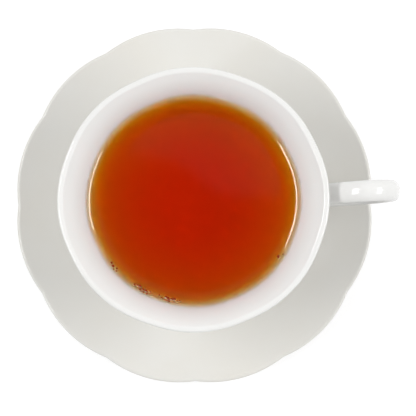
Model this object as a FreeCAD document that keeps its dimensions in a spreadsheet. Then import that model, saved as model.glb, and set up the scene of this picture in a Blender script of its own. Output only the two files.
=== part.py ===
"""A cup of tea: a lobed porcelain cup with a loop handle, filled with tea, on its scalloped saucer.

Millimetres, +Z up. The origin is the centre of the ring that the saucer stands on, and the cup's
handle points along +X. The cup is a little longer along its handle than across it. Its lip has
eight shallow lobes that fade out towards the foot, and the saucer's edge has twelve.
"""

import FreeCAD, Part
import math
import os

import Sketcher
from FreeCAD import Placement, Rotation, Vector

OUT_DIR = "parts"

CUP_LOBES = 8
SAUCER_LOBES = 12
POLES_PER_LOBE = 9
WALL_SECTIONS = 21
HANDLE_SECTIONS = 25
# Rise over run of the handle's strap where it leaves the wall, before and behind its crest, and
# where it returns.
UPPER_ROOT_SLOPE = 0.45
SHOULDER_SLOPE = 0.41
LOWER_ROOT_SLOPE = -0.25
NEAR = 0.01  # how close, in millimetres, an edge lies to the place it is looked for

# alias, value in millimetres (saucer_turn in degrees), what it is
SIZES = [
    ("saucer_d", 150.0, "saucer across the crowns of two opposite lobes"),
    ("saucer_height", 20.0, "table to the top of the saucer's edge, before it is rounded"),
    ("saucer_wall", 3.3, "thickness of the saucer's floor, and of its slope at the foot ring"),
    ("saucer_edge_wall", 2.4, "thickness of the saucer at its edge"),
    ("saucer_sweep_r", 128.0, "radius of the saucer's hollow slope"),
    ("saucer_lobe_r", 50.0, "radius of each lobe of the saucer's edge"),
    ("saucer_valley_round", 4.0, "rounding of the valleys between the saucer's lobes"),
    ("saucer_turn", -2.6, "from the cup's handle to the nearest valley of the saucer"),
    ("saucer_edge_round", 1.05, "rounding of the saucer's edge"),
    ("saucer_foot_d", 84.0, "outside of the saucer's foot ring"),
    ("saucer_foot_w", 3.6, "width of the saucer's foot ring"),
    ("saucer_foot_recess", 2.6, "table to the saucer's underside inside its foot ring"),
    ("foot_draft", 0.5, "how far each side of the saucer's foot ring leans in towards the table"),
    ("foot_round", 0.7, "rounding of both foot rings where they stand"),
    ("root_round", 1.2, "rounding where each foot ring grows out of the underside"),
    ("well_depth", 1.2, "depth of the well that the cup stands in"),
    ("well_clearance", 3.0, "room round the cup's foot in the well"),
    ("well_slope", 2.2, "width of the well's sloping side"),
    ("well_round", 1.0, "rounding of the well's two corners"),
    ("cup_length", 104.6, "outside of the lip along the handle"),
    ("cup_width", 101.8, "outside of the lip across the handle"),
    ("cup_height", 56.5, "cup's foot to its lip"),
    ("cup_lobe_dip", 0.55, "how far the valleys of the lip lie inside its crowns"),
    ("cup_wall", 2.3, "thickness of the cup's wall"),
    ("lip_wall", 2.2, "thickness of the lip, measured level"),
    ("lip_round", 0.85, "rounding of the lip"),
    ("cup_floor", 2.8, "thickness of the cup's floor"),
    ("cup_foot_d", 44.0, "outside of the cup's foot ring"),
    ("cup_foot_w", 3.4, "width of the cup's foot ring"),
    ("cup_foot_recess", 1.8, "cup's foot to the middle of its underside"),
    ("turn_inset", 1.3, "how far the turn from floor to side lies inside the foot's outside"),
    ("turn_rise", 4.5, "underside to the turn from floor to side"),
    ("belly_inset", 15.7, "how far the belly lies inside the lip"),
    ("belly_height", 18.2, "foot to the belly"),
    ("side_inset", 10.5, "how far the side between belly and waist lies inside the lip"),
    ("side_height", 31.9, "foot to the side between belly and waist"),
    ("waist_inset", 9.0, "how far the waist lies inside the lip"),
    ("waist_drop", 12.5, "lip down to the waist"),
    ("flare_drop", 5.6, "lip down to the middle of the flare"),
    ("flare_inset", 6.0, "how far the middle of the flare lies inside the lip"),
    ("tea_drop", 10.0, "lip down to the tea"),
    ("handle_reach", 38.9, "waist to the outermost point of the handle"),
    ("handle_width", 8.2, "handle's strap, across"),
    ("handle_thickness", 5.2, "handle's strap, through"),
    ("handle_root_width", 11.5, "handle at the wall, across"),
    ("handle_root_thickness", 8.0, "handle at the wall, through"),
    ("handle_root_length", 11.0, "length over which the handle slims down from each root"),
    ("handle_root_depth", 3.5, "from the wall's outer face in to where the handle's ends start"),
    ("handle_top_drop", 20.5, "lip down to the middle of the upper root"),
    ("handle_crest_drop", 1.0, "lip down to the handle's crest"),
    ("handle_crest_reach", 24.8, "waist to the handle's crest"),
    ("handle_near_shoulder", 3.5, "crest to the shoulder nearer the cup"),
    ("handle_near_fall", 0.85, "how far the strap has fallen from its crest to that shoulder"),
    ("handle_far_shoulder", 5.1, "crest to the shoulder away from the cup"),
    ("handle_far_fall", 1.45, "how far the strap has fallen from its crest to that shoulder"),
    ("handle_outer_height", 40.0, "cup's foot to the outermost point of the handle"),
    ("handle_bottom_height", 18.5, "cup's foot to the middle of the lower root"),
]

# Places that several pieces share, as expressions of the sheet.
SAUCER_FLOOR = "(Sizes.saucer_foot_recess + Sizes.saucer_wall)"
WELL_R = "(Sizes.cup_foot_d / 2 + Sizes.well_clearance)"
SHOULDER_R = f"({WELL_R} + Sizes.well_slope)"
SHOULDER_Z = f"({SAUCER_FLOOR} + Sizes.well_depth)"
BLANK_R = "(Sizes.saucer_d / 2 + Sizes.saucer_edge_wall)"
LIP_R = "((Sizes.cup_length + Sizes.cup_width) / 4)"
WAIST_R = f"({LIP_R} - Sizes.waist_inset)"

doc = FreeCAD.newDocument("CupOfTea")


def fill_sheet():
    """The sheet of driving sizes: the name in A, the value in B under its alias, the note in C."""
    sheet = doc.addObject("Spreadsheet::Sheet", "Sizes")
    for row, (alias, value, note) in enumerate(SIZES, start=1):
        sheet.set(f"A{row}", alias)
        sheet.set(f"B{row}", str(value))
        sheet.set(f"C{row}", note)
        sheet.setAlias(f"B{row}", alias)
    doc.recompute()
    return sheet


SHEET = fill_sheet()


def size(expression):
    """What an expression of the sheet's cells comes to."""
    return float(SHEET.evalExpression(expression))


def add(kind, name, **properties):
    """A new object of the document. A text starting with = binds its property to the sheet."""
    made = doc.addObject(kind, name)
    for key, value in properties.items():
        if isinstance(value, str) and value.startswith("="):
            made.setExpression(key, value[1:])
        else:
            setattr(made, key, value)
    return made


def add_shape(name, shape):
    """A new object that holds a shape made here."""
    made = doc.addObject("Part::Feature", name)
    made.Shape = shape
    return made


def edge_names(feature, test, closed=True):
    """The names of the feature's edges, closed on themselves or not, that pass a test."""
    edges = enumerate(feature.Shape.Edges, start=1)
    return [f"Edge{number}" for number, edge in edges if edge.isClosed() == closed and test(edge)]


def is_ring(radius, height):
    """A test for a circle of this radius round the Z axis at this height."""

    def test(edge):
        box = edge.BoundBox
        level = abs(box.ZMin - height) < NEAR and abs(box.ZMax - height) < NEAR
        return level and abs(box.XLength - 2 * radius) < NEAR

    return test


# ---------------------------------------------------------------- saucer


def new_sketch(body, name, role):
    """An empty sketch on one of the body's own planes."""
    sketch = body.newObject("Sketcher::SketchObject", name)
    plane = next(part for part in body.Origin.OriginFeatures if part.Role == role)
    sketch.AttachmentSupport = [(plane, "")]
    sketch.MapMode = "FlatFace"
    return sketch


def measure(sketch, kind, *places, to):
    """A dimension in a sketch, bound to the sheet."""
    number = sketch.addConstraint(Sketcher.Constraint(kind, *places, size(to)))
    sketch.setExpression(f"Constraints[{number}]", to)


def hollow_arc(start, passing, radius, end_x):
    """The arc of this radius that sags below its chord, through two points and on to end_x."""
    chord = passing - start
    rise = math.sqrt(radius**2 - (chord.Length / 2) ** 2)
    centre = start + chord / 2 + Vector(-chord.y, chord.x, 0) / chord.Length * rise
    end_y = centre.y - math.sqrt(radius**2 - (end_x - centre.x) ** 2)
    first = math.atan2(start.y - centre.y, start.x - centre.x)
    last = math.atan2(end_y - centre.y, end_x - centre.x)
    circle = Part.Circle(centre, Vector(0, 0, 1), radius)
    return Part.ArcOfCircle(circle, first, last), Vector(end_x, end_y, 0)


def saucer_section(body):
    """Half of the saucer's section, out to a blank edge that the lobes are cut from."""
    edge_r = "Sizes.saucer_d / 2"
    under_edge = "Sizes.saucer_height - Sizes.saucer_edge_wall"
    foot_r = "Sizes.saucer_foot_d / 2"
    foot_in = f"{foot_r} - Sizes.saucer_foot_w"
    sweep = "Sizes.saucer_sweep_r"

    shoulder = Vector(size(SHOULDER_R), size(SHOULDER_Z), 0)
    crown = Vector(size(edge_r), size("Sizes.saucer_height"), 0)
    top_arc, top_end = hollow_arc(shoulder, crown, size(sweep), size(BLANK_R))
    above_foot = hollow_arc(shoulder, crown, size(sweep), size(foot_r))[1]
    foot_root = above_foot - Vector(0, size("Sizes.saucer_wall"), 0)
    under_crown = Vector(size(edge_r), size(under_edge), 0)
    under_arc, under_end = hollow_arc(foot_root, under_crown, size(sweep), size(BLANK_R))

    floor = size(SAUCER_FLOOR)
    recess = size("Sizes.saucer_foot_recess")
    draft = size("Sizes.foot_draft")
    corners = [
        Vector(0, floor, 0),
        Vector(size(WELL_R), floor, 0),
        shoulder,
        top_end,
        under_end,
        foot_root,
        Vector(size(foot_r) - draft, 0, 0),
        Vector(size(foot_in) + draft, 0, 0),
        Vector(size(foot_in), recess, 0),
        Vector(0, recess, 0),
    ]

    sketch = new_sketch(body, "saucer_section", "XZ_Plane")
    arcs = {2: top_arc, 4: under_arc}
    for number, start in enumerate(corners):
        end = corners[(number + 1) % len(corners)]
        sketch.addGeometry(arcs.get(number) or Part.LineSegment(start, end), False)
    crown_point = sketch.addGeometry(Part.Point(crown), True)
    under_point = sketch.addGeometry(Part.Point(under_crown), True)
    foot_point = sketch.addGeometry(Part.Point(above_foot), True)

    # The under arc runs from the foot out to the edge, against the order of the other sides.
    joints = [((0, 2), (1, 1)), ((1, 2), (2, 1)), ((2, 2), (3, 1)), ((3, 2), (4, 2)), ((4, 1), (5, 1))]
    joints += [((number, 2), ((number + 1) % len(corners), 1)) for number in range(5, len(corners))]
    for one, other in joints:
        sketch.addConstraint(Sketcher.Constraint("Coincident", *one, *other))
    for side in (0, 6, 8):
        sketch.addConstraint(Sketcher.Constraint("Horizontal", side))
    for side in (3, 9):
        sketch.addConstraint(Sketcher.Constraint("Vertical", side))
    sketch.addConstraint(Sketcher.Constraint("PointOnObject", 0, 1, -2))
    sketch.addConstraint(Sketcher.Constraint("PointOnObject", 6, 1, -1))
    for point, arc in ((crown_point, 2), (under_point, 4), (foot_point, 2)):
        sketch.addConstraint(Sketcher.Constraint("PointOnObject", point, 1, arc))
    sketch.addConstraint(Sketcher.Constraint("Equal", 2, 4))

    measure(sketch, "DistanceY", -1, 1, 0, 1, to=SAUCER_FLOOR)
    measure(sketch, "DistanceX", -1, 1, 0, 2, to=WELL_R)
    measure(sketch, "DistanceX", -1, 1, 1, 2, to=SHOULDER_R)
    measure(sketch, "DistanceY", -1, 1, 1, 2, to=SHOULDER_Z)
    measure(sketch, "Radius", 2, to=sweep)
    measure(sketch, "DistanceX", -1, 1, crown_point, 1, to=edge_r)
    measure(sketch, "DistanceY", -1, 1, crown_point, 1, to="Sizes.saucer_height")
    measure(sketch, "DistanceX", -1, 1, 2, 2, to=BLANK_R)
    measure(sketch, "DistanceX", -1, 1, under_point, 1, to=edge_r)
    measure(sketch, "DistanceY", -1, 1, under_point, 1, to=under_edge)
    measure(sketch, "DistanceX", -1, 1, foot_point, 1, to=foot_r)
    measure(sketch, "DistanceX", -1, 1, 5, 1, to=foot_r)
    measure(sketch, "DistanceY", 5, 1, foot_point, 1, to="Sizes.saucer_wall")
    measure(sketch, "DistanceX", -1, 1, 5, 2, to=f"{foot_r} - Sizes.foot_draft")
    measure(sketch, "DistanceX", -1, 1, 6, 2, to=f"{foot_in} + Sizes.foot_draft")
    measure(sketch, "DistanceX", -1, 1, 7, 2, to=foot_in)
    measure(sketch, "DistanceY", -1, 1, 7, 2, to="Sizes.saucer_foot_recess")
    return sketch


def saucer_notch_outline(body):
    """What is cut away between two crowns: two halves of lobes, the round valley between, and out."""
    half = f"{180 / SAUCER_LOBES} deg"
    crown_r = "Sizes.saucer_d / 2"
    lobe_r = "Sizes.saucer_lobe_r"
    valley_round = "Sizes.saucer_valley_round"
    away = f"({crown_r} - {lobe_r})"
    outer = f"({BLANK_R} + 2 * Sizes.saucer_edge_wall)"

    centre = Vector(size(f"{away} * cos({half})"), size(f"{away} * sin({half})"), 0)
    reach = size(f"{lobe_r} + {valley_round}")
    valley = Vector(centre.x + math.sqrt(reach**2 - centre.y**2), 0, 0)
    towards = (valley - centre) / reach
    meeting = centre + towards * size(lobe_r)
    corner = Vector(size(f"{outer} * cos({half})"), size(f"{outer} * sin({half})"), 0)
    crown = corner * (size(crown_r) / corner.Length)

    def mirrored(point):
        return Vector(point.x, -point.y, 0)

    def arc(middle, radius, start, end):
        circle = Part.Circle(middle, Vector(0, 0, 1), radius)
        first = math.atan2(start.y - middle.y, start.x - middle.x)
        last = math.atan2(end.y - middle.y, end.x - middle.x)
        return Part.ArcOfCircle(circle, first, last)

    sketch = new_sketch(body, "saucer_notch_outline", "XY_Plane")
    sketch.addGeometry(arc(mirrored(centre), size(lobe_r), mirrored(crown), mirrored(meeting)), False)
    sketch.addGeometry(arc(valley, size(valley_round), meeting, mirrored(meeting)), False)
    sketch.addGeometry(arc(centre, size(lobe_r), meeting, crown), False)
    sketch.addGeometry(Part.LineSegment(crown, corner), False)
    sketch.addGeometry(Part.LineSegment(corner, mirrored(corner)), False)
    sketch.addGeometry(Part.LineSegment(mirrored(corner), mirrored(crown)), False)
    sketch.addConstraint(Sketcher.Constraint("Tangent", 0, 2, 1, 2))
    sketch.addConstraint(Sketcher.Constraint("Tangent", 1, 1, 2, 1))
    for one, other in (((2, 2), (3, 1)), ((3, 2), (4, 1)), ((4, 2), (5, 1)), ((5, 2), (0, 1))):
        sketch.addConstraint(Sketcher.Constraint("Coincident", *one, *other))
    sketch.addConstraint(Sketcher.Constraint("Symmetric", 0, 1, 2, 2, -1))
    sketch.addConstraint(Sketcher.Constraint("Symmetric", 0, 3, 2, 3, -1))
    sketch.addConstraint(Sketcher.Constraint("Symmetric", 4, 1, 4, 2, -1))
    sketch.addConstraint(Sketcher.Constraint("PointOnObject", 2, 3, 3))
    measure(sketch, "Radius", 0, to=lobe_r)
    measure(sketch, "Radius", 1, to=valley_round)
    measure(sketch, "DistanceX", -1, 1, 2, 3, to=f"{away} * cos({half})")
    measure(sketch, "DistanceY", -1, 1, 2, 3, to=f"{away} * sin({half})")
    measure(sketch, "DistanceX", -1, 1, 3, 2, to=f"{outer} * cos({half})")
    measure(sketch, "DistanceY", -1, 1, 3, 2, to=f"{outer} * sin({half})")
    return sketch


def runs_level(edge):
    """True for an edge that runs round the saucer, and not for one that stands upright."""
    box = edge.BoundBox
    return box.ZLength < math.hypot(box.XLength, box.YLength)


def rounded(body, base, name, names, radius):
    """A fillet in a body, with its radius bound to the sheet."""
    fillet = body.newObject("PartDesign::Fillet", name)
    fillet.Base = (base, names)
    fillet.setExpression("Radius", radius)
    body.Tip = fillet
    doc.recompute()
    return fillet


def make_saucer():
    """A turned saucer with a foot ring and a well, its edge cut into lobes and rounded."""
    body = doc.addObject("PartDesign::Body", "saucer")
    body.Label = "saucer"
    section = saucer_section(body)
    doc.recompute()
    turned = body.newObject("PartDesign::Revolution", "saucer_turned")
    turned.Profile = (section, [""])
    turned.ReferenceAxis = (section, ["V_Axis"])
    turned.Angle = 360
    doc.recompute()

    notch = body.newObject("PartDesign::Pocket", "saucer_notch")
    notch.Profile = (saucer_notch_outline(body), [""])
    notch.Type = "ThroughAll"
    notch.Reversed = True
    lobed = body.newObject("PartDesign::PolarPattern", "saucer_lobes")
    lobed.Originals = [notch]
    lobed.Axis = (section, ["V_Axis"])
    lobed.Angle = 360
    lobed.Occurrences = SAUCER_LOBES
    body.Tip = lobed
    doc.recompute()
    if lobed.Shape.Volume >= turned.Shape.Volume:
        raise ValueError("the lobes were not cut from the saucer's edge")

    between_foot_and_edge = size("(Sizes.saucer_foot_d + Sizes.saucer_d) / 4")
    edges = [
        f"Edge{number}"
        for number, edge in enumerate(lobed.Shape.Edges, start=1)
        if runs_level(edge) and edge.Vertexes[0].Point.Length > between_foot_and_edge
    ]
    last = rounded(body, lobed, "saucer_edge", edges, "Sizes.saucer_edge_round")

    foot_r = size("Sizes.saucer_foot_d / 2")
    foot_in = size("Sizes.saucer_foot_d / 2 - Sizes.saucer_foot_w")
    draft = size("Sizes.foot_draft")
    floor = size(SAUCER_FLOOR)
    rounds = [
        ("saucer_foot_outside", foot_r - draft, 0, "Sizes.foot_round"),
        ("saucer_foot_inside", foot_in + draft, 0, "Sizes.foot_round"),
        ("saucer_underside", foot_in, size("Sizes.saucer_foot_recess"), "Sizes.root_round"),
        ("saucer_well", size(WELL_R), floor, "Sizes.well_round"),
        ("saucer_shoulder", size(SHOULDER_R), size(SHOULDER_Z), "Sizes.well_round"),
    ]
    for name, radius, height, rounding in rounds:
        names = edge_names(last, is_ring(radius, height))
        last = rounded(body, last, name, names, rounding)
    body.setExpression("Placement.Rotation.Yaw", "Sizes.saucer_turn")
    return body


# ---------------------------------------------------------------- cup


def lobed_radius(crown_r, dip, angle):
    """Radius, at an angle from a crown, of a ring made of equal arcs that meet in valleys."""
    half = math.pi / CUP_LOBES
    from_crown = (angle + half) % (2 * half) - half
    valley_r = crown_r - dip
    offset = (crown_r**2 - valley_r**2) / (2 * (crown_r - valley_r * math.cos(half)))
    aside = offset * math.sin(from_crown)
    return offset * math.cos(from_crown) + math.sqrt((crown_r - offset) ** 2 - aside**2)


def lobed_ring(radius, stretch, dip, height):
    """A level ring of lobes on an oval. Its poles stand out so that the curve meets the radius."""
    count = CUP_LOBES * POLES_PER_LOBE
    out = 3 / (2 + math.cos(2 * math.pi / count))
    poles = []
    for number in range(count):
        angle = 2 * math.pi * number / count
        reach = out * lobed_radius(radius, dip, angle)
        x = reach * (1 + stretch) * math.cos(angle)
        y = reach * (1 - stretch) * math.sin(angle)
        poles.append(Vector(x, y, height))
    curve = Part.BSplineCurve()
    curve.buildFromPoles(poles, True, 3)
    return Part.Wire(curve.toShape())


def wall_curve(poles):
    """The smooth curve that follows a row of poles, in the cup's half section."""
    curve = Part.BSplineCurve()
    curve.buildFromPoles([Vector(radius, 0, height) for radius, height in poles])
    return curve


def wall_outside():
    """Poles of the wall's outer face: along the underside, round the belly, up and out to the lip."""
    foot = size("Sizes.cup_foot_d / 2")
    under = size("Sizes.cup_foot_recess")
    lip = size(LIP_R)
    top = size("Sizes.cup_height")
    return [
        (foot / 4, under),
        (foot / 2, under),
        (foot - size("Sizes.turn_inset"), under + size("Sizes.turn_rise")),
        (lip - size("Sizes.belly_inset"), size("Sizes.belly_height")),
        (lip - size("Sizes.side_inset"), size("Sizes.side_height")),
        (size(WAIST_R), top - size("Sizes.waist_drop")),
        (lip - size("Sizes.flare_inset"), top - size("Sizes.flare_drop")),
        (lip, top - size("Sizes.lip_wall")),
        (lip, top - size("Sizes.lip_round")),
        (lip, top),
    ]


def moved_in(before, pole, after, distance):
    """A pole moved to the inner side of its wall, square to the line between its neighbours."""
    along = Vector(after[0] - before[0], 0, after[1] - before[1])
    return (
        pole[0] - along.z / along.Length * distance,
        pole[1] + along.x / along.Length * distance,
    )


def wall_inside():
    """Poles of the wall's inner face, from the flat of the floor up to the lip."""
    wall = size("Sizes.cup_wall")
    floor = size("Sizes.cup_foot_recess + Sizes.cup_floor")
    outside = wall_outside()
    middle, edge, turn, belly, side, waist, flare, _, _, lip = outside
    slant = wall / math.sqrt(2)
    return [
        (middle[0], floor),
        (edge[0], floor),
        moved_in(edge, turn, belly, wall),
        moved_in(turn, belly, side, wall),
        moved_in(belly, side, waist, wall),
        (waist[0] - wall, waist[1]),
        (flare[0] - slant, flare[1] + slant / 2),
        (lip[0] - size("Sizes.lip_wall"), lip[1]),
    ]


def wall_radius(height):
    """Radius of the wall's outer face at a height."""
    curve = wall_curve(wall_outside())
    low, high = curve.FirstParameter, curve.LastParameter
    while high - low > NEAR * NEAR:
        middle = (low + high) / 2
        if curve.value(middle).z < height:
            low = middle
        else:
            high = middle
    return curve.value(low).x


def wall_form(name, poles):
    """A solid through lobed sections, round at the foot and oval with lobes at the lip."""
    top = size("Sizes.cup_height")
    oval = size("(Sizes.cup_length - Sizes.cup_width) / (Sizes.cup_length + Sizes.cup_width)")
    curve = wall_curve(poles)
    length = curve.length()
    sections = []
    for number in range(WALL_SECTIONS):
        point = curve.value(curve.parameterAtDistance(length * number / (WALL_SECTIONS - 1)))
        climb = point.z / top
        stretch = oval * climb**4
        dip = size("Sizes.cup_lobe_dip") * climb**2
        ring = lobed_ring(point.x, stretch, dip, point.z)
        sections.append(add_shape(f"{name}_section_{number}", ring))
    return add("Part::Loft", name, Sections=sections, Solid=True, Ruled=False)


def handle_path():
    """The middle line of the strap: up to its crest between two shoulders, out, down and back."""
    top = size("Sizes.cup_height")
    half = size("Sizes.handle_thickness / 2")
    depth = size("Sizes.handle_root_depth")
    upper_z = top - size("Sizes.handle_top_drop")
    lower_z = size("Sizes.handle_bottom_height")
    crest_r = size(f"{WAIST_R} + Sizes.handle_crest_reach")
    crest_z = top - size("Sizes.handle_crest_drop") - half
    near_r = crest_r - size("Sizes.handle_near_shoulder")
    near_z = crest_z - size("Sizes.handle_near_fall")
    far_r = crest_r + size("Sizes.handle_far_shoulder")
    far_z = crest_z - size("Sizes.handle_far_fall")
    outer_r = size(f"{WAIST_R} + Sizes.handle_reach") - half
    stations = [
        (wall_radius(upper_z) - depth, upper_z, (1, UPPER_ROOT_SLOPE)),
        (near_r, near_z, (1, SHOULDER_SLOPE)),
        (crest_r, crest_z, (1, 0)),
        (far_r, far_z, (1, -SHOULDER_SLOPE)),
        (outer_r, size("Sizes.handle_outer_height"), (0, -1)),
        (wall_radius(lower_z) - depth, lower_z, (-1, -LOWER_ROOT_SLOPE)),
    ]
    curve = Part.BSplineCurve()
    curve.interpolate(
        Points=[Vector(out, 0, height) for out, height, _ in stations],
        Tangents=[Vector(run, 0, rise) for _, _, (run, rise) in stations],
        TangentFlags=[True] * len(stations),
    )
    return curve


def make_handle():
    """The strap: oval sections along its middle line, larger where they meet the wall."""
    path = handle_path()
    length = path.length()
    root = size("Sizes.handle_root_length")
    sections = []
    for number in range(HANDLE_SECTIONS):
        along = length * number / (HANDLE_SECTIONS - 1)
        at = path.parameterAtDistance(along)
        near = max(0.0, 1 - min(along, length - along) / root)
        flare = near**2
        width = f"Sizes.handle_width + (Sizes.handle_root_width - Sizes.handle_width) * {flare:.4f}"
        through = (
            "Sizes.handle_thickness"
            f" + (Sizes.handle_root_thickness - Sizes.handle_thickness) * {flare:.4f}"
        )
        oval = add(
            "Part::Ellipse",
            f"handle_section_{number}",
            MajorRadius=f"=({width}) / 2",
            MinorRadius=f"=({through}) / 2",
        )
        forward = path.tangent(at)[0]
        across = Vector(0, 1, 0)
        oval.Placement = Placement(path.value(at), Rotation(across, forward.cross(across), forward, "XYZ"))
        sections.append(oval)
    return add("Part::Loft", "handle", Sections=sections, Solid=True, Ruled=False)


def make_cup_and_tea():
    """The cup in one piece with its foot and handle, and the tea that fills its hollow."""
    form = wall_form("bowl", wall_outside())
    hollow = wall_form("hollow", wall_inside())
    foot = add(
        "Part::Cylinder",
        "foot",
        Radius="=Sizes.cup_foot_d / 2",
        Height="=Sizes.cup_foot_recess + Sizes.turn_rise + Sizes.cup_wall",
    )
    foot_inside = add(
        "Part::Cylinder",
        "foot_inside",
        Radius="=Sizes.cup_foot_d / 2 - Sizes.cup_foot_w",
        Height="=Sizes.cup_height",
    )
    ring = add("Part::Cut", "foot_ring", Base=foot, Tool=foot_inside)
    blank = add("Part::MultiFuse", "cup_blank", Shapes=[form, ring, make_handle()])
    opened = add("Part::Cut", "cup_opened", Base=blank, Tool=hollow)
    doc.recompute()

    top = size("Sizes.cup_height")
    foot_r = size("Sizes.cup_foot_d / 2")
    foot_in = size("Sizes.cup_foot_d / 2 - Sizes.cup_foot_w")

    def at_lip(edge):
        return abs(edge.BoundBox.ZMin - top) < NEAR

    def at_root(edge):
        outs = [math.hypot(end.X, end.Y) for end in edge.Vertexes]
        level = edge.BoundBox.ZLength < NEAR
        return level and any(all(abs(out - r) < NEAR for out in outs) for r in (foot_r, foot_in))

    lip = edge_names(opened, at_lip)
    stand = edge_names(opened, is_ring(foot_r, 0)) + edge_names(opened, is_ring(foot_in, 0))
    root = edge_names(opened, at_root, closed=False)
    rounding = [(int(name[4:]), size("Sizes.lip_round")) for name in lip]
    rounding += [(int(name[4:]), size("Sizes.foot_round")) for name in stand]
    rounding += [(int(name[4:]), size("Sizes.root_round")) for name in root]
    cup = add("Part::Fillet", "cup", Base=opened)
    cup.Edges = [(number, radius, radius) for number, radius in rounding]
    cup.setExpression("Placement.Base.z", SAUCER_FLOOR)

    level = add(
        "Part::Cylinder",
        "tea_level",
        Radius="=Sizes.cup_length",
        Height="=Sizes.cup_height - Sizes.tea_drop",
    )
    tea = add("Part::Common", "tea", Base=hollow, Tool=level)
    tea.setExpression("Placement.Base.z", SAUCER_FLOOR)
    return cup, tea


def check_and_write(pieces):
    """Stops on anything that failed, then writes each piece to its own file."""
    doc.recompute()
    for made in doc.Objects:
        if {"Invalid", "Error"} & set(made.State):
            raise ValueError(f"{made.Name} is {made.State}")
    for piece in pieces:
        if piece.Shape.isNull() or not piece.Shape.isValid() or len(piece.Shape.Solids) != 1:
            raise ValueError(f"{piece.Label} is not one valid solid")
    os.makedirs(OUT_DIR, exist_ok=True)
    for piece in pieces:
        piece.Shape.exportStep(os.path.join(OUT_DIR, f"{piece.Label}.step"))
        box = piece.Shape.BoundBox
        spans = f"{box.XLength:.2f} x {box.YLength:.2f} x {box.ZLength:.2f}"
        print(f"{piece.Label}: {spans} mm, {piece.Shape.Volume / 1000:.2f} cm3")


check_and_write([make_saucer(), *make_cup_and_tea()])
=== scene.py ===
"""Looks for the cup of tea: glazed porcelain on the CAD cup and saucer, clear tea with its raised
edge in place of the CAD tea, and the bubbles on it. Metres, in the frame of the CAD model."""
import math
import random

import bmesh
import bpy
from mathutils import Matrix, Vector
from mathutils.bvhtree import BVHTree


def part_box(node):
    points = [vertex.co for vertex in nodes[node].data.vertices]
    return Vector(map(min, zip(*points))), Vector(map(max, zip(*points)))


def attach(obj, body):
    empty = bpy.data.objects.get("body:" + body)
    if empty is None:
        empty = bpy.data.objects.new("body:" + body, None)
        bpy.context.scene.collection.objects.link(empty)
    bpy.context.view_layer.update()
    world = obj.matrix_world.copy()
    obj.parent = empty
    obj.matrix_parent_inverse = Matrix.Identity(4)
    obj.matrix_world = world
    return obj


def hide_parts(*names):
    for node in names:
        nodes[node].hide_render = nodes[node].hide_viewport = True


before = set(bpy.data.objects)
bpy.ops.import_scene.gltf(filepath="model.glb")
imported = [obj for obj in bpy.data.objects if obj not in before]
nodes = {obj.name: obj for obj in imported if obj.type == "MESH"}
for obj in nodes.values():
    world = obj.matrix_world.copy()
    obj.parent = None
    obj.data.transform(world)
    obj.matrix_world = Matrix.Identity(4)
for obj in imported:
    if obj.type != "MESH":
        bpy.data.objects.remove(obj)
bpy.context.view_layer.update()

MM = 0.001
TAU = 2 * math.pi
UP = Vector((0, 0, 1))
PURE_WHITE = (1, 1, 1, 1)
WATER_IOR = 1.333
GLAZE_IOR = 1.5
MOST_NOISE = (0.3, 0.7)  # most values of a noise lie between these
scene = bpy.context.scene

# ---------------------------------------------------------------- places, from the CAD model

saucer_low, saucer_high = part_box("saucer")
cup_low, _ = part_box("cup")
_, tea_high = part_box("tea")
LEVEL = tea_high.z
FLOOR_Z = saucer_low.z


def add_object(name, data):
    item = bpy.data.objects.new(name, data)
    scene.collection.objects.link(item)
    return item


# ---------------------------------------------------------------- camera

TURN = math.radians(2.9)  # how far the handle points above the picture's horizontal
TILT = math.radians(2.381)  # the camera leans this far from looking straight down
LEAN = math.radians(0.158)  # and this far to the right
HEIGHT = 495 * MM  # camera above the saucer's edge
ASIDE = 4.3 * MM  # camera to the right of the saucer's axis
BACK = 22.2 * MM  # and below it, in the picture
LENS_MM, SENSOR_MM = 102.678, 36
NEAREST = 10 * MM  # nothing nearer to the camera is drawn

# The picture's rightward and upward directions on the table.
ACROSS = Vector((math.cos(TURN), -math.sin(TURN), 0))
ALONG = Vector((math.sin(TURN), math.cos(TURN), 0))


def make_camera():
    look = ALONG * math.sin(TILT) + ACROSS * math.tan(LEAN) - UP * math.cos(TILT)
    look.normalize()
    right = look.cross(ALONG).normalized()
    up = right.cross(look)
    data = bpy.data.cameras.new("camera")
    data.sensor_width = SENSOR_MM
    data.lens = LENS_MM
    data.clip_start = NEAREST
    camera = add_object("camera", data)
    place = right * ASIDE - ALONG * BACK + UP * (saucer_high.z + HEIGHT)
    turned = Matrix((right, up, -look)).transposed().to_4x4()
    camera.matrix_world = Matrix.Translation(place) @ turned
    scene.camera = camera


make_camera()

# ---------------------------------------------------------------- node helpers


def new_material(name):
    material = bpy.data.materials.new(name)
    material.use_nodes = True
    tree = material.node_tree
    return material, tree, tree.nodes["Principled BSDF"], tree.nodes["Material Output"]


def set_inputs(made, values):
    for key, value in values.items():
        made.inputs[key].default_value = value


def node(tree, kind, values=None, **settings):
    made = tree.nodes.new(kind)
    for key, value in settings.items():
        setattr(made, key, value)
    set_inputs(made, values or {})
    return made


def calc(tree, operation, *values):
    """The result of a Math node. Each value is a socket or a number."""
    made = node(tree, "ShaderNodeMath", operation=operation)
    for socket, value in zip(made.inputs, values):
        if isinstance(value, (int, float)):
            socket.default_value = value
        else:
            tree.links.new(value, socket)
    return made.outputs[0]


def coordinates(tree, kind):
    return node(tree, "ShaderNodeTexCoord").outputs[kind]


def light_path(tree):
    return node(tree, "ShaderNodeLightPath").outputs


def split(tree, vector):
    made = node(tree, "ShaderNodeSeparateXYZ")
    tree.links.new(vector, made.inputs["Vector"])
    return made.outputs


def noise(tree, source, scale, detail):
    made = node(tree, "ShaderNodeTexNoise", {"Scale": scale, "Detail": detail})
    tree.links.new(source, made.inputs["Vector"])
    return made.outputs["Fac"]


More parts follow.
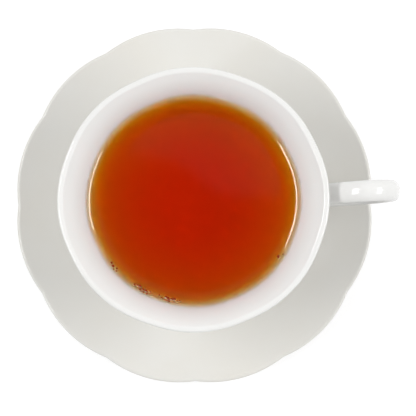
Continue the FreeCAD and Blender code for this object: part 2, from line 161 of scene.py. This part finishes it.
def remap(tree, source, low, high, to_low, to_high, smooth=False):
    """The source stretched from one range to another, and held at its ends."""
    made = node(
        tree,
        "ShaderNodeMapRange",
        {"From Min": low, "From Max": high, "To Min": to_low, "To Max": to_high},
        interpolation_type="SMOOTHSTEP" if smooth else "LINEAR",
        clamp=True,
    )
    tree.links.new(source, made.inputs["Value"])
    return made.outputs["Result"]


def blend_colours(tree, factor, first, second):
    """A colour between two, each a socket or three numbers."""
    made = node(tree, "ShaderNodeMix", data_type="RGBA")
    tree.links.new(factor, made.inputs["Factor"])
    for key, value in (("A", first), ("B", second)):
        socket = next(s for s in made.inputs if s.name == key and s.type == "RGBA")
        if isinstance(value, tuple):
            socket.default_value = (*value, 1)
        else:
            tree.links.new(value, socket)
    return next(s for s in made.outputs if s.type == "RGBA")


def blend_shaders(tree, factor, first, second, target):
    made = node(tree, "ShaderNodeMixShader")
    for socket, source in zip(made.inputs, (factor, first.outputs[0], second.outputs[0])):
        tree.links.new(source, socket)
    tree.links.new(made.outputs[0], target)


def shows_backdrop(tree):
    """1 for the rays that see the background: from the camera, reflected or refracted."""
    path = light_path(tree)
    either = calc(tree, "MAXIMUM", path["Is Camera Ray"], path["Is Glossy Ray"])
    return calc(tree, "MAXIMUM", either, path["Is Transmission Ray"])


# ---------------------------------------------------------------- porcelain

WHITE = (0.886, 0.884, 0.870)
CREAM = (0.871, 0.864, 0.842)
# Painted shade: the saucer is the same china as the cup, its colours darkened and warmed to stand
# in for shade that the lamps don't give it.
SAUCER_SHADED_WHITE = (0.822, 0.814, 0.780)
SAUCER_SHADED_CREAM = (0.806, 0.788, 0.738)
BISCUIT = (0.78, 0.74, 0.67)  # porcelain without glaze
CLOUDS, GRAIN, WAVES = (38, 4), (420, 2), (110, 2)  # noise of colour, gloss, bump: scale, detail
CREAM_FROM, CREAM_TO = 0.3, 0.75  # values of the clouds at which cream starts and is whole
GLAZE_ROUGHNESS = (0.07, 0.12)
WAVE_STRENGTH, WAVE_DEPTH = 0.12, 0.2 * MM
BARE_HEIGHT = 0.7 * MM  # the ring that it stands on has no glaze up to here
BARE_ROUGHNESS = 0.6
DULLED_ROUGHNESS = 0.7  # where tea lies on the glaze
DULLED_BEYOND = 0.5 * MM  # outside the tea's widest point, so that no wall is missed
DULLED_DEPTH = 1.0 * MM  # it starts this far below the level
FACES_UP = 0.05  # least upward part of a normal on the bowl's inside


def under_tea(tree, apart):
    """1 on the bowl's inside below the tea's level, where tea lies on the glaze and dulls it."""
    normal = split(tree, node(tree, "ShaderNodeNewGeometry").outputs["Normal"])
    squares = [calc(tree, "MULTIPLY", apart[key], apart[key]) for key in "XY"]
    radius = calc(tree, "SQRT", calc(tree, "ADD", *squares))
    inside = calc(tree, "LESS_THAN", radius, tea_high.x + DULLED_BEYOND)
    below = calc(tree, "LESS_THAN", apart["Z"], LEVEL - DULLED_DEPTH)
    upward = calc(tree, "GREATER_THAN", normal["Z"], FACES_UP)
    return calc(tree, "MULTIPLY", calc(tree, "MULTIPLY", inside, below), upward)


def porcelain(name, foot_z, white, cream, holds_tea=False):
    """White glazed porcelain: a thick clear glaze with slow waves, and a bare ring it stands on."""
    material, tree, shader, _ = new_material(name)
    place = coordinates(tree, "Object")
    apart = split(tree, place)
    bare = remap(tree, apart["Z"], foot_z, foot_z + BARE_HEIGHT, 1, 0, smooth=True)
    creamy = remap(tree, noise(tree, place, *CLOUDS), CREAM_FROM, CREAM_TO, 0, 1)
    colour = blend_colours(tree, creamy, white, cream)
    tree.links.new(blend_colours(tree, bare, colour, BISCUIT), shader.inputs["Base Color"])

    rough = remap(tree, noise(tree, place, *GRAIN), *MOST_NOISE, *GLAZE_ROUGHNESS)
    rough = calc(tree, "MAXIMUM", rough, calc(tree, "MULTIPLY", bare, BARE_ROUGHNESS))
    if holds_tea:
        dulled = calc(tree, "MULTIPLY", under_tea(tree, apart), DULLED_ROUGHNESS)
        rough = calc(tree, "MAXIMUM", rough, dulled)
    tree.links.new(rough, shader.inputs["Roughness"])

    bump = node(tree, "ShaderNodeBump", {"Strength": WAVE_STRENGTH, "Distance": WAVE_DEPTH})
    tree.links.new(noise(tree, place, *WAVES), bump.inputs["Height"])
    tree.links.new(bump.outputs["Normal"], shader.inputs["Normal"])
    shader.inputs["IOR"].default_value = GLAZE_IOR
    return material


def dress(name, material):
    item = nodes[name]
    item.data.materials.clear()
    item.data.materials.append(material)
    for face in item.data.polygons:
        face.material_index = 0


dress("cup", porcelain("cup_glaze", cup_low.z, WHITE, CREAM, holds_tea=True))
# The saucer's colours hold painted shade.
dress("saucer", porcelain("saucer_glaze", saucer_low.z, SAUCER_SHADED_WHITE, SAUCER_SHADED_CREAM))

# ---------------------------------------------------------------- tea

SAG = 1.75 * MM  # the flat level lies this far below the solid's level
FLAT_Z = LEVEL - SAG
RISE = 2.3 * MM  # how far the tea climbs the wall above its flat level
REACH = 1.9 * MM  # width over which it climbs
INTO_WALL = 0.5 * MM
HIDDEN_LIFT = 0.15 * MM  # the edge hidden in the wall lies this far above the one that shows
AROUND = 256  # points in each ring of the tea
FLAT_RINGS = (12 * MM, 24 * MM)  # radii of the rings in the flat middle
BAND = 12 * MM  # width beside the wall that has finer rings
BAND_STEPS = 40
BOWL_STEPS = 40
EYE_DEPTH = 2 * MM  # the bowl's inside is measured from a point this far below the flat level

TEA_TAKES = (0.0025, 0.0415, 0.32)  # how much of each colour a millimetre takes, as an exponent
TEA_ROUGHNESS = 0.02
FILM_ROUGHNESS = 0.03  # of the coat, which mirrors the lamps


def wall_tree():
    return BVHTree.FromObject(nodes["cup"], bpy.context.evaluated_depsgraph_get())


def wall_distance(tree, origin, way):
    return tree.ray_cast(origin, way)[3]


def direction(angle):
    return Vector((math.cos(angle), math.sin(angle), 0))


def tea_height(gap):
    """Height of the tea's surface at a distance from the wall."""
    return FLAT_Z + RISE * math.exp(-gap / REACH)


def smooth_object(name, mesh):
    data = bpy.data.meshes.new(name)
    mesh.to_mesh(data)
    mesh.free()
    for face in data.polygons:
        face.use_smooth = True
    return add_object(name, data)


def make_tea():
    """The tea's body: flat in the middle, raised at the edge, and just into the wall all round."""
    tree = wall_tree()
    mesh = bmesh.new()
    outward = [direction(TAU * k / AROUND) for k in range(AROUND)]
    edge_z = FLAT_Z + RISE
    edge = [wall_distance(tree, UP * edge_z, out) for out in outward]

    def ring(radii, height):
        places = [out * radius + UP * height for out, radius in zip(outward, radii)]
        return [mesh.verts.new(place) for place in places]

    # From the middle outwards over the top.
    centre_top = mesh.verts.new((0, 0, FLAT_Z))
    rings = [ring([radius] * AROUND, FLAT_Z) for radius in FLAT_RINGS]
    for step in range(BAND_STEPS + 1):
        gap = BAND * (1 - step / BAND_STEPS) ** 2
        rings.append(ring([radius - gap for radius in edge], tea_height(gap)))
    rings.append(ring([radius + INTO_WALL for radius in edge], edge_z + HIDDEN_LIFT))

    # Down inside the wall to the floor.
    eye = UP * (FLAT_Z - EYE_DEPTH)
    for step in range(1, BOWL_STEPS):
        fall = TAU / 4 * step / BOWL_STEPS
        rays = [out * math.cos(fall) - UP * math.sin(fall) for out in outward]
        places = [eye + ray * (wall_distance(tree, eye, ray) + INTO_WALL) for ray in rays]
        rings.append([mesh.verts.new(place) for place in places])
    centre_low = mesh.verts.new(eye - UP * (wall_distance(tree, eye, -UP) + INTO_WALL))

    pairs = [(k, (k + 1) % AROUND) for k in range(AROUND)]
    for k, n in pairs:
        mesh.faces.new((centre_top, rings[0][k], rings[0][n]))
    for near, far in zip(rings, rings[1:]):
        for k, n in pairs:
            mesh.faces.new((far[k], far[n], near[n], near[k]))
    for k, n in pairs:
        mesh.faces.new((rings[-1][n], rings[-1][k], centre_low))
    bmesh.ops.recalc_face_normals(mesh, faces=mesh.faces)
    return smooth_object("tea_surface", mesh)


def tea_liquid():
    material, tree, shader, output = new_material("tea_liquid")
    set_inputs(shader, {
        "Base Color": PURE_WHITE,
        "Roughness": TEA_ROUGHNESS,
        "IOR": WATER_IOR,
        "Transmission Weight": 1.0,
        "Coat Weight": 1.0,
        "Coat Roughness": FILM_ROUGHNESS,
        "Coat IOR": GLAZE_IOR,
    })
    taken = [t / MM for t in TEA_TAKES]
    density = max(taken)
    left = (*[1 - t / density for t in taken], 1)
    absorb = node(tree, "ShaderNodeVolumeAbsorption", {"Color": left, "Density": density})
    tree.links.new(absorb.outputs[0], output.inputs["Volume"])
    return material


# ---------------------------------------------------------------- bubbles

# Bubbles at the tea's edge: azimuth in degrees, distance from the wall and radius, both in mm.
BUBBLES = [
    (214.4, 1.9, 0.50), (216.2, 1.5, 0.62), (217.8, 1.0, 0.34), (218.6, 2.0, 0.40),
    (219.6, 1.3, 0.36),
    (232.0, 1.8, 0.46), (233.6, 2.2, 0.50), (235.0, 2.4, 0.66), (236.1, 1.3, 0.42),
    (237.4, 2.0, 0.60), (238.5, 1.0, 0.34), (239.4, 1.9, 0.68), (240.4, 1.0, 0.36),
    (241.3, 2.3, 0.40),
    (247.2, 2.3, 0.42), (249.0, 1.6, 0.36), (250.9, 2.3, 0.60), (252.5, 2.1, 0.62),
    (253.4, 1.1, 0.38), (254.4, 2.2, 0.54), (256.0, 2.3, 0.66), (257.6, 1.9, 0.42),
    (259.2, 2.2, 0.38),
    (323.5, 2.3, 0.72), (326.0, 1.4, 0.30),
]
SUNK = 0.35  # share of its radius by which a bubble's centre lies below the surface
SQUEEZE = 0.08  # how much their outlines vary
FLATTENED = 0.9
SEED = 5
# Painted reflection on the bubbles: light on the side of the wall, as if the film mirrored the
# white wall, and dark red on the side of the tea.
PAINTED_TEA_DARK = (0.27, 0.024, 0.003)
PAINTED_WALL_LIGHT = (0.95, 0.82, 0.60)
PAINTED_LIGHT_FROM, PAINTED_LIGHT_TO = 0.15, 0.75  # from the middle (0) towards the wall (1)
MOTTLE = (1500, 1)  # noise: scale, detail
MOTTLE_FROM, MOTTLE_TO = 0.35, 0.65
MOTTLED = 0.2  # how far it shifts where the painted light side starts
BUBBLE_ROUGHNESS = (0.04, 0.10)


def make_bubbles():
    """Domes afloat in the raised edge, each with how far its points lie towards the wall."""
    tree = wall_tree()
    mesh = bmesh.new()
    towards_wall = mesh.verts.layers.float.new("towards_wall")
    dice = random.Random(SEED)
    for azimuth, gap, radius in BUBBLES:
        out = direction(math.radians(azimuth))
        edge = wall_distance(tree, UP * (FLAT_Z + RISE), out)
        gap, radius = gap * MM, radius * MM
        centre = out * (edge - gap) + UP * (tea_height(gap) - SUNK * radius)
        dome = bmesh.ops.create_uvsphere(mesh, u_segments=20, v_segments=14, radius=radius)
        squeeze = 1 + SQUEEZE * (dice.random() - 0.5)
        for vert in dome["verts"]:
            vert[towards_wall] = vert.co.dot(out) / radius
            x, y, z = vert.co
            vert.co = centre + Vector((x * squeeze, y / squeeze, z * FLATTENED))
    return smooth_object("bubbles", mesh)


def bubble_film():
    """A thin film of tea with painted reflection: light on the side of the wall, as if it mirrored
    the white wall, and dark red on the side of the tea.
    """
    material, tree, shader, _ = new_material("bubble_film")
    side = node(tree, "ShaderNodeAttribute", attribute_name="towards_wall").outputs["Fac"]
    mottle = noise(tree, coordinates(tree, "Object"), *MOTTLE)
    shift = remap(tree, mottle, MOTTLE_FROM, MOTTLE_TO, -MOTTLED, MOTTLED)
    # Mask of the painted reflection: how far each point faces the wall, shifted by the mottle.
    light = calc(tree, "ADD", side, shift)
    light = remap(tree, light, PAINTED_LIGHT_FROM, PAINTED_LIGHT_TO, 0, 1, smooth=True)
    tree.links.new(blend_colours(tree, light, PAINTED_TEA_DARK, PAINTED_WALL_LIGHT), shader.inputs["Base Color"])
    rough = remap(tree, mottle, *MOST_NOISE, *BUBBLE_ROUGHNESS)
    tree.links.new(rough, shader.inputs["Roughness"])
    shader.inputs["IOR"].default_value = WATER_IOR
    return material


tea = make_tea()
tea.data.materials.append(tea_liquid())
bubbles = make_bubbles()
bubbles.data.materials.append(bubble_film())
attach(bubbles, "root")
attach(tea, "root")
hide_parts("tea")

# ---------------------------------------------------------------- floor

FLOOR_HALF = 3.0
FLOOR_COLOUR = (0.64, 0.64, 0.64, 1)
FLOOR_ROUGHNESS = 0.9
GLOW_FROM, GLOW_TO = 0.3, 2.0  # distances between which the floor's glow grows
GLOW_NEAR, GLOW_FAR = 0.52, 0.85


def make_floor():
    """A pale floor that keeps the shadow and, to the rays that see the background, is white."""
    data = bpy.data.meshes.new("floor")
    signs = [(-1, -1), (1, -1), (1, 1), (-1, 1)]
    corners = [(x * FLOOR_HALF, y * FLOOR_HALF, FLOOR_Z) for x, y in signs]
    data.from_pydata(corners, [], [(0, 1, 2, 3)])
    item = add_object("floor", data)
    material, tree, shader, output = new_material("floor_pale")
    set_inputs(shader, {"Base Color": FLOOR_COLOUR, "Roughness": FLOOR_ROUGHNESS})
    away = node(tree, "ShaderNodeVectorMath", operation="LENGTH")
    tree.links.new(coordinates(tree, "Object"), away.inputs[0])
    glow = node(tree, "ShaderNodeEmission", {"Color": PURE_WHITE})
    strength = remap(tree, away.outputs["Value"], GLOW_FROM, GLOW_TO, GLOW_NEAR, GLOW_FAR)
    tree.links.new(strength, glow.inputs["Strength"])
    both = node(tree, "ShaderNodeAddShader")
    tree.links.new(shader.outputs[0], both.inputs[0])
    tree.links.new(glow.outputs[0], both.inputs[1])
    blend_shaders(tree, shows_backdrop(tree), shader, both, output.inputs["Surface"])
    data.materials.append(material)


# ---------------------------------------------------------------- lamps and world

SOFTBOX_DISTANCE = 0.9
SOFTBOX_SIZE = (0.58, 0.16)
SOFTBOX_WATTS = 3.07
RIGHT_ELEVATION = math.radians(40)
LEFT_ELEVATION = math.radians(52)
AMBIENT = 0.56
LEANING = 0.25  # how much the even light differs between the picture's top and bottom
HIGH_WALL = 0.35  # what glossy surfaces mirror of the studio's walls above the low white part
HIGH_WALL_FROM, HIGH_WALL_TO = 0.06, 0.3
OPENING_EDGE, OPENING = 0.80, 0.92  # where the dark opening overhead starts and is whole
OPENING_GLOW = 0.01
CEILING = 0.10  # what the tea mirrors of the ceiling beside the opening
CEILING_FROM, CEILING_TO = 0.058, 0.074  # where that ceiling starts, and is whole
CEILING_ASKEW = 0.26  # how far its edge runs askew to the picture
RAGGED = 0.008  # how far the edge strays from straight
RAGGED_NOISE = (14, 1)  # scale, detail


def softbox(name, azimuth, elevation):
    data = bpy.data.lights.new(name, "AREA")
    data.shape = "RECTANGLE"
    data.size, data.size_y = SOFTBOX_SIZE
    data.energy = SOFTBOX_WATTS
    item = add_object(name, data)
    aim = direction(azimuth) * math.cos(elevation) + UP * math.sin(elevation)
    item.location = aim * SOFTBOX_DISTANCE + UP * LEVEL
    item.rotation_euler = aim.to_track_quat("Z", "Y").to_euler()


def towards(tree, way):
    """How far a ray of the world points in a direction, from -1 to 1."""
    made = node(tree, "ShaderNodeVectorMath", operation="DOT_PRODUCT")
    tree.links.new(coordinates(tree, "Generated"), made.inputs[0])
    made.inputs[1].default_value = way
    return made.outputs["Value"]


def studio_seen(tree):
    """Strength of what is seen or mirrored of the studio: white to the camera, dimmer high on the
    walls in glossy surfaces, and dark in the opening overhead, with a ceiling beside it."""
    path = light_path(tree)
    height = towards(tree, UP)
    mirrored = calc(tree, "SUBTRACT", path["Is Glossy Ray"], path["Is Transmission Ray"])
    high = remap(tree, height, HIGH_WALL_FROM, HIGH_WALL_TO, 0, 1 - HIGH_WALL)
    walls = calc(tree, "SUBTRACT", 1, calc(tree, "MULTIPLY", mirrored, high))

    uneven = noise(tree, coordinates(tree, "Generated"), *RAGGED_NOISE)
    ragged = remap(tree, uneven, *MOST_NOISE, -RAGGED, RAGGED)
    beyond = calc(tree, "ADD", towards(tree, ALONG + ACROSS * CEILING_ASKEW), ragged)
    overhead = remap(tree, beyond, CEILING_FROM, CEILING_TO, OPENING_GLOW, CEILING, smooth=True)

    beside = remap(tree, height, OPENING_EDGE, OPENING, 1, 0, smooth=True)
    seen = node(tree, "ShaderNodeMix", data_type="FLOAT")
    factor = calc(tree, "MAXIMUM", beside, path["Is Camera Ray"])
    for key, source in (("Factor", factor), ("A", overhead), ("B", walls)):
        tree.links.new(source, seen.inputs[key])
    return seen.outputs["Result"]


def make_world():
    """Even light, a little stronger from beyond the object, and what is seen of the studio."""
    world = bpy.data.worlds.new("studio")
    scene.world = world
    world.use_nodes = True
    tree = world.node_tree
    light = tree.nodes["Background"]
    light.inputs["Color"].default_value = PURE_WHITE
    weak, strong = AMBIENT * (1 - LEANING), AMBIENT * (1 + LEANING)
    strength = remap(tree, towards(tree, ALONG), -1, 1, weak, strong)
    tree.links.new(strength, light.inputs["Strength"])
    plain = node(tree, "ShaderNodeBackground", {"Color": PURE_WHITE})
    tree.links.new(studio_seen(tree), plain.inputs["Strength"])
    target = tree.nodes["World Output"].inputs["Surface"]
    blend_shaders(tree, shows_backdrop(tree), light, plain, target)


make_floor()
softbox("softbox_right", -TURN, RIGHT_ELEVATION)
softbox("softbox_left", math.pi - TURN, LEFT_ELEVATION)
make_world()
scene.view_settings.view_transform = "Standard"
